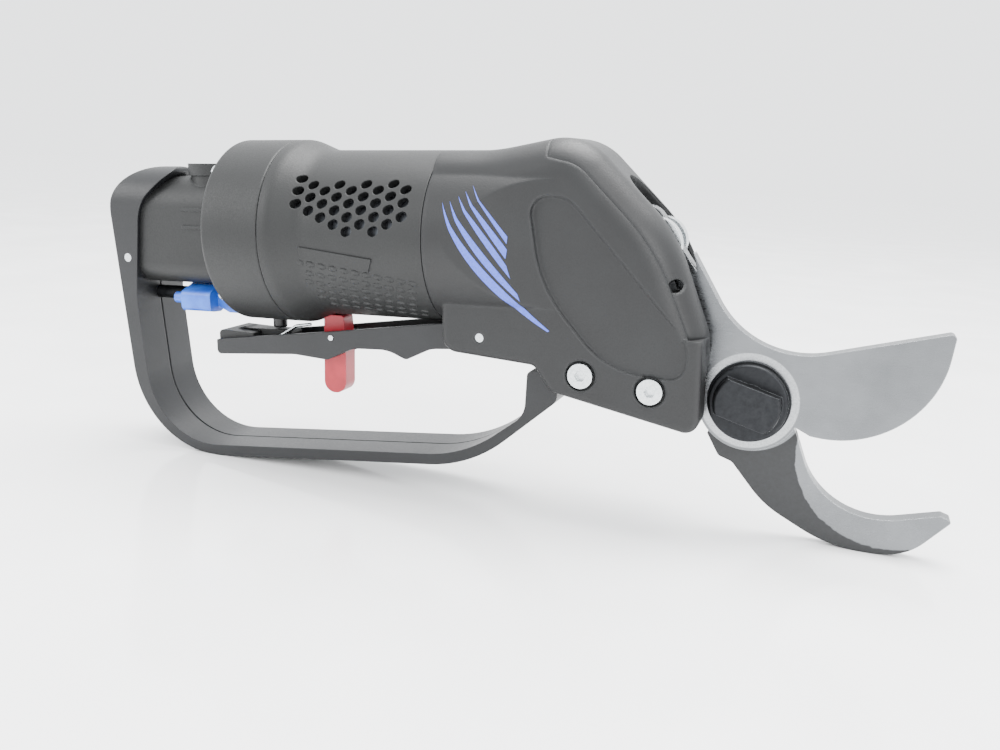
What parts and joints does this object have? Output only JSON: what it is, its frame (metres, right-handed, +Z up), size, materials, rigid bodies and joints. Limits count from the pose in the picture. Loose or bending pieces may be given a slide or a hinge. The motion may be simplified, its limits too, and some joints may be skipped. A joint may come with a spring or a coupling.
{
  "type": "pneumatic pruning shear",
  "caption": "Hand-held air pruner: perforated cylinder grip, trigger lever with red safety catch, hoop hand guard, sloping head and a curved bypass blade over a hooked counter blade.",
  "frame": {"origin": "middle of the bounding box's underside, on the floor that the hand guard and the counter blade rest on", "axes": "+X forward from the guard to the blade tips, +Y to the tool's left, +Z up; the cylinder axis is pitched 2.8 degrees nose up"},
  "size_m": [0.2792, 0.06, 0.1143],
  "materials": {
    "black_nylon": "fine sparked matt",
    "blade_steel": "ground and polished",
    "dark_steel": "black oxide",
    "plated_steel": "bright zinc",
    "aluminium": "satin",
    "bronze": "machined",
    "rubber": "smooth",
    "red_plastic": "satin moulded",
    "blue_plastic": "satin moulded",
    "black_acetal": "turned"
  },
  "bodies": {
    "tool_frame": {"rear_cap": "black_nylon", "cap_screws": "plated_steel", "grip_sleeve": "black_nylon", "cylinder_liner": "aluminium", "liner_rear_seal": "rubber", "liner_front_seal": "rubber", "front_cover": "aluminium", "rod_seal": "rubber", "rod_bush": "bronze", "counter_blade": "blade_steel", "pivot_washer": "dark_steel", "pivot_bush": "bronze", "pivot_bolt": "dark_steel", "pivot_nut": "dark_steel", "nose_guide": "black_nylon", "head_shell_right": "black_nylon", "head_shell_left": "black_nylon", "clamp_screws": "plated_steel", "clamp_nuts": "plated_steel", "trigger_pin": "plated_steel", "trigger_spring": "plated_steel", "hand_guard": "black_nylon", "guard_screws": "plated_steel", "valve_block": "black_nylon", "exhaust_cap": "black_nylon", "valve_plug": "aluminium", "valve_spring": "plated_steel", "guide_rod": "dark_steel"},
    "piston_group": {"piston": "aluminium", "piston_seal": "rubber", "piston_rod": "plated_steel", "rod_nut": "plated_steel", "rod_fork": "plated_steel", "fork_pin": "plated_steel"},
    "blade": {"cutting_blade": "blade_steel"},
    "trigger": {"trigger_lever": "black_nylon", "trigger_end_block": "black_nylon", "catch_pin": "plated_steel", "valve_rocker": "black_nylon"},
    "catch": {"safety_catch": "red_plastic"},
    "selector": {"opening_selector": "blue_plastic"},
    "plunger": {"valve_plunger": "black_acetal"},
    "spool": {"valve_spool": "aluminium"}
  },
  "joints": [
    {"name": "blade_swing", "type": "hinge", "parent": "tool_frame", "child": "blade", "pos_m": [0.08094, 0, 0.04221], "axis": [0, 1, 0], "range_deg": [0, 50]},
    {"name": "piston_slide", "type": "slide", "parent": "tool_frame", "child": "piston_group", "axis": [0.9988, 0, 0.0484], "range_m": [0, 0.0427]},
    {"name": "trigger_pull", "type": "hinge", "parent": "tool_frame", "child": "trigger", "pos_m": [0.00205, 0, 0.0546], "axis": [0, 1, 0], "range_deg": [0, 1.9], "stiffness_Nm_per_rad": 6, "springref_deg": -2.86, "deforming": ["trigger_spring"]},
    {"name": "plunger_slide", "type": "slide", "parent": "tool_frame", "child": "plunger", "axis": [-0.0484, 0, 0.9988], "range_m": [0, 0.0028]},
    {"name": "spool_slide", "type": "slide", "parent": "tool_frame", "child": "spool", "axis": [-0.9988, 0, -0.0484], "range_m": [0, 0.0041], "deforming": ["valve_spring"]},
    {"name": "catch_swing", "type": "hinge", "parent": "trigger", "child": "catch", "pos_m": [-0.05383, 0, 0.04659], "axis": [0, -1, 0], "range_deg": [0, 45]},
    {"name": "selector_turn", "type": "hinge", "parent": "tool_frame", "child": "selector", "pos_m": [-0.10749, 0, 0.0548], "axis": [0.9988, 0, 0.0484], "range_deg": [0, 35]}
  ],
  "couplings": [
    {"joint": "piston_slide", "follows": "blade_swing", "m_per_rad": 0.048931},
    {"joint": "plunger_slide", "follows": "trigger_pull", "m_per_rad": 0.08143},
    {"joint": "spool_slide", "follows": "trigger_pull", "m_per_rad": 0.12062}
  ]
}
